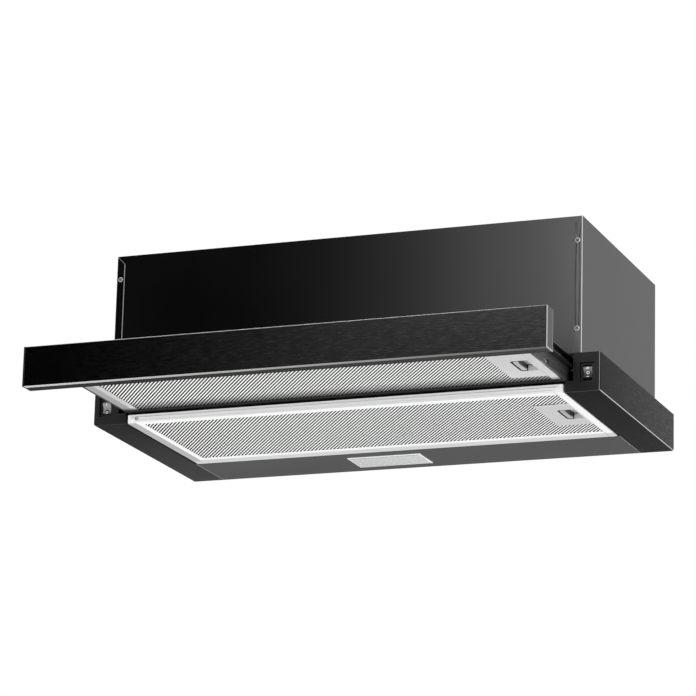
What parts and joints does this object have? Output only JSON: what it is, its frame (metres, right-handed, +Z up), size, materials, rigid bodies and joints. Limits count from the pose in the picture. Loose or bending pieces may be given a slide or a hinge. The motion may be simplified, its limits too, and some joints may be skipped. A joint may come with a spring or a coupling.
{
  "type": "under cabinet range hood",
  "caption": "Telescopic under cabinet range hood with a slide-out visor drawer, grease filters with sprung latches, rocker switches, a lamp and a top duct collar with damper flaps.",
  "frame": {"origin": "centre of the four cabinet screw holes, on the top face of the housing", "axes": "+X to the user's right along the visor, +Y to the wall, +Z up"},
  "size_m": [0.598, 0.4685, 0.2312],
  "materials": {
    "housing_black": "gloss black sheet steel",
    "base_black": "black coated, brushed",
    "inner_steel": "satin dark grey sheet steel",
    "visor_black": "black coated, brushed along its length",
    "cap_grey": "fine matt dark grey",
    "bracket_black": "fine matt black",
    "rocker_black": "satin black",
    "drawer_steel": "satin grey sheet steel",
    "slide_steel": "zinc plated",
    "slide_black": "satin black",
    "cage_steel": "zinc plated",
    "screw_steel": "bright plated",
    "black_screw": "black zinc",
    "filter_aluminium": "satin",
    "mesh_aluminium": "bright expanded mesh",
    "latch_metal": "satin",
    "spring_steel": "bright",
    "lamp_white": "white",
    "socket_white": "white",
    "bulb_glass": "frosted",
    "lens_plastic": "frosted translucent",
    "switch_black": "matt black",
    "plunger_red": "red",
    "box_grey": "matt dark grey",
    "capacitor_white": "off white",
    "gland_black": "matt black",
    "wire_grey": "grey sleeve",
    "scroll_steel": "galvanised",
    "impeller_white": "off white",
    "motor_grey": "satin grey",
    "shaft_steel": "ground",
    "collar_black": "fine matt black",
    "flap_black": "matt black"
  },
  "bodies": {
    "hood": {"top_panel": "housing_black", "front_panel": "housing_black", "rear_panel": "housing_black", "left_side_panel": "housing_black", "right_side_panel": "housing_black", "housing_screws": "screw_steel", "left_base_rail": "base_black", "right_base_rail": "base_black", "rear_bottom_panel": "inner_steel", "left_front_bracket": "bracket_black", "right_front_bracket": "bracket_black", "base_screws": "black_screw", "left_slide_outer": "slide_steel", "right_slide_outer": "slide_steel", "slide_screws": "screw_steel", "lamp_housing": "lamp_white", "lamp_socket": "socket_white", "lamp_bulb": "bulb_glass", "light_switch_body": "switch_black", "fan_switch_body": "switch_black", "drawer_microswitch": "switch_black", "terminal_box": "box_grey", "motor_capacitor": "capacitor_white", "cable_gland": "gland_black", "wiring_loom": "wire_grey", "left_scroll_shell": "scroll_steel", "right_scroll_shell": "scroll_steel", "motor_body": "motor_grey", "motor_bracket": "scroll_steel", "blower_screws": "screw_steel", "outlet_collar": "collar_black", "damper_pin": "shaft_steel"},
    "drawer": {"drawer_frame": "drawer_steel", "visor_panel": "visor_black", "left_visor_cap": "cap_grey", "right_visor_cap": "cap_grey", "visor_screws": "screw_steel", "left_slide_inner": "slide_black", "right_slide_inner": "slide_black", "drawer_slide_screws": "screw_steel"},
    "left_cage": {"left_ball_cage": "cage_steel"},
    "right_cage": {"right_ball_cage": "cage_steel"},
    "base_filter": {"base_filter_frame": "filter_aluminium", "base_filter_mesh": "mesh_aluminium", "base_latch_plate": "filter_aluminium", "base_latch_spring": "spring_steel"},
    "base_latch": {"base_filter_latch": "latch_metal"},
    "drawer_filter": {"drawer_filter_frame": "filter_aluminium", "drawer_filter_mesh": "mesh_aluminium", "drawer_latch_plate": "filter_aluminium", "drawer_latch_spring": "spring_steel"},
    "drawer_latch": {"drawer_filter_latch": "latch_metal"},
    "light_rocker": {"light_rocker": "rocker_black"},
    "fan_rocker": {"fan_rocker": "rocker_black"},
    "lens": {"lamp_lens": "lens_plastic"},
    "plunger": {"microswitch_plunger": "plunger_red"},
    "left_flap": {"left_damper_flap": "flap_black"},
    "right_flap": {"right_damper_flap": "flap_black"},
    "rotor": {"impeller": "impeller_white", "motor_shaft": "shaft_steel"}
  },
  "joints": [
    {"name": "drawer_slide", "type": "slide", "parent": "hood", "child": "drawer", "axis": [0, 1, 0], "range_m": [0, 0.1628]},
    {"name": "left_cage_slide", "type": "slide", "parent": "hood", "child": "left_cage", "axis": [0, 1, 0], "range_m": [0, 0.0814]},
    {"name": "right_cage_slide", "type": "slide", "parent": "hood", "child": "right_cage", "axis": [0, 1, 0], "range_m": [0, 0.0814]},
    {"name": "base_filter_tilt", "type": "hinge", "parent": "hood", "child": "base_filter", "pos_m": [-0.259, -0.039, -0.19325], "axis": [0, 1, 0], "range_deg": [0, 18]},
    {"name": "base_latch_slide", "type": "slide", "parent": "base_filter", "child": "base_latch", "axis": [1, 0, 0], "range_m": [-0.002, 0], "stiffness_N_per_m": 250, "springref_m": 0.004, "deforming": ["base_latch_spring"]},
    {"name": "drawer_filter_tilt", "type": "hinge", "parent": "drawer", "child": "drawer_filter", "pos_m": [-0.2592, -0.22, -0.18025], "axis": [0, -1, 0], "range_deg": [-18, 0]},
    {"name": "drawer_latch_slide", "type": "slide", "parent": "drawer_filter", "child": "drawer_latch", "axis": [1, 0, 0], "range_m": [-0.002, 0], "stiffness_N_per_m": 250, "springref_m": 0.004, "deforming": ["drawer_latch_spring"]},
    {"name": "light_rocker_tilt", "type": "hinge", "parent": "hood", "child": "light_rocker", "pos_m": [-0.2845, -0.1316, -0.177], "axis": [1, 0, 0], "range_deg": [-20, 0]},
    {"name": "fan_rocker_tilt", "type": "hinge", "parent": "hood", "child": "fan_rocker", "pos_m": [0.2845, -0.1316, -0.177], "axis": [1, 0, 0], "range_deg": [-12, 12]},
    {"name": "lamp_lens_swing", "type": "hinge", "parent": "hood", "child": "lens", "pos_m": [-0.076, 0.102, -0.1986], "axis": [0, 1, 0], "range_deg": [0, 80]},
    {"name": "plunger_slide", "type": "slide", "parent": "hood", "child": "plunger", "axis": [0, 1, 0], "range_m": [0, 0.0015], "stiffness_N_per_m": 200, "springref_m": -0.0015},
    {"name": "left_flap_hinge", "type": "hinge", "parent": "hood", "child": "left_flap", "pos_m": [0, 0.032, 0.008], "axis": [0, 1, 0], "range_deg": [0, 75]},
    {"name": "right_flap_hinge", "type": "hinge", "parent": "hood", "child": "right_flap", "pos_m": [0, 0.032, 0.008], "axis": [0, -1, 0], "range_deg": [0, 75]},
    {"name": "impeller_spin", "type": "hinge", "parent": "hood", "child": "rotor", "pos_m": [0, 0.022, -0.081], "axis": [1, 0, 0], "continuous": true}
  ],
  "couplings": [
    {"joint": "left_cage_slide", "follows": "drawer_slide", "ratio": 0.5},
    {"joint": "right_cage_slide", "follows": "drawer_slide", "ratio": 0.5}
  ]
}
